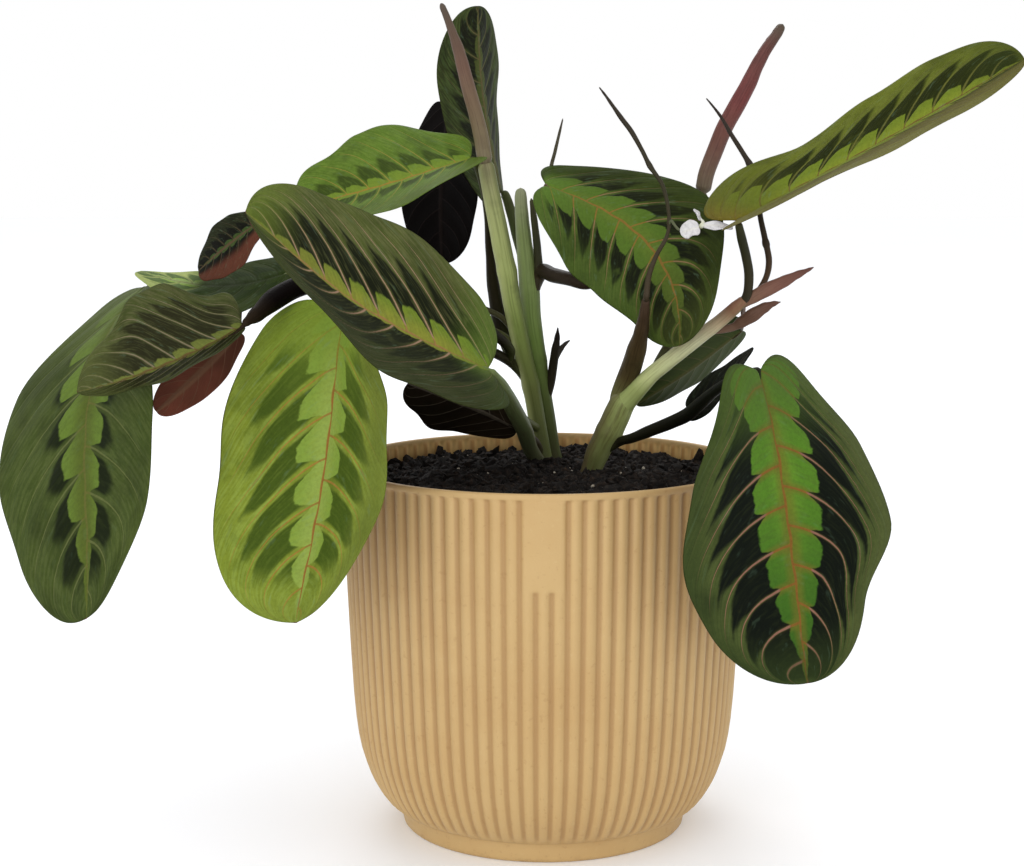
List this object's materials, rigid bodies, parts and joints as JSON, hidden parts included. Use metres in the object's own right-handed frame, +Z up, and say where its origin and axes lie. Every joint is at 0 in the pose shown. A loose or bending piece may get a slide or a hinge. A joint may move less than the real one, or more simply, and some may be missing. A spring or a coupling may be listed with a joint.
{
  "type": "potted prayer plant",
  "caption": "Prayer plant with patterned oval leaves on jointed stalks, rolled new leaves and a small white flower, in a ribbed round pot with a plain foot.",
  "frame": {"origin": "centre of the pot's flat underside, on the surface it stands on", "axes": "+Z up along the pot's axis, +X to the right in the picture's view (the spread of the leaves), +Y away from the viewer"},
  "size_m": [0.3495, 0.1814, 0.2881],
  "materials": {
    "pot": "matte",
    "soil": "matte",
    "leaf_upper": "satin",
    "leaf_lime": "satin",
    "leaf_dark": "satin",
    "leaf_underside": "satin",
    "stalk_green": "satin",
    "stalk_brown": "matte",
    "bract": "matte",
    "petal": "matte"
  },
  "bodies": {
    "root": {"pot": "pot", "soil": "soil", "leaf_right_hanging": "leaf_upper", "leaf_front_left": "leaf_lime", "leaf_far_left": "leaf_upper", "leaf_left_upper": "leaf_upper", "leaf_left_turned": "leaf_underside", "leaf_left_pale": "leaf_lime", "leaf_left_small": "leaf_dark", "leaf_centre_left": "leaf_upper", "leaf_top_left": "leaf_lime", "leaf_top_upright": "leaf_upper", "leaf_behind": "leaf_dark", "leaf_low": "leaf_dark", "leaf_centre_right": "leaf_upper", "leaf_right_long": "leaf_upper", "leaf_right_olive": "leaf_dark", "leaf_right_small": "leaf_dark", "stem_left_front": "stalk_green", "rolled_leaf_left": "stalk_brown", "stem_left_back": "stalk_green", "petiole_centre_left": "stalk_green", "petiole_top_left": "stalk_brown", "petiole_top_upright": "stalk_green", "petiole_behind": "stalk_brown", "petiole_front_left": "stalk_green", "petiole_far_left": "stalk_brown", "petiole_left_upper": "leaf_underside", "petiole_left_pale": "stalk_green", "petiole_left_small": "stalk_green", "petiole_low": "stalk_brown", "petiole_centre_right": "stalk_brown", "stem_right": "stalk_green", "stem_right_brown": "stalk_brown", "petiole_right_pale": "stalk_green", "flower_stalk": "stalk_brown", "flower_pedicel": "stalk_brown", "flower_petal_left": "petal", "flower_petal_right": "petal", "flower_petal_upper": "petal", "thin_bract_right": "stalk_brown", "petiole_right_long": "stalk_green", "thin_bract_centre": "stalk_brown", "rolled_leaf_right": "stalk_brown", "stalk_rolled_right": "stalk_green", "bract_right_upper": "bract", "bract_right_lower": "bract", "petiole_right_hanging": "stalk_brown", "petiole_left_turned": "stalk_brown", "petiole_right_olive": "stalk_brown", "petiole_right_small": "stalk_brown", "twig_left": "stalk_brown"}
  },
  "joints": []
}
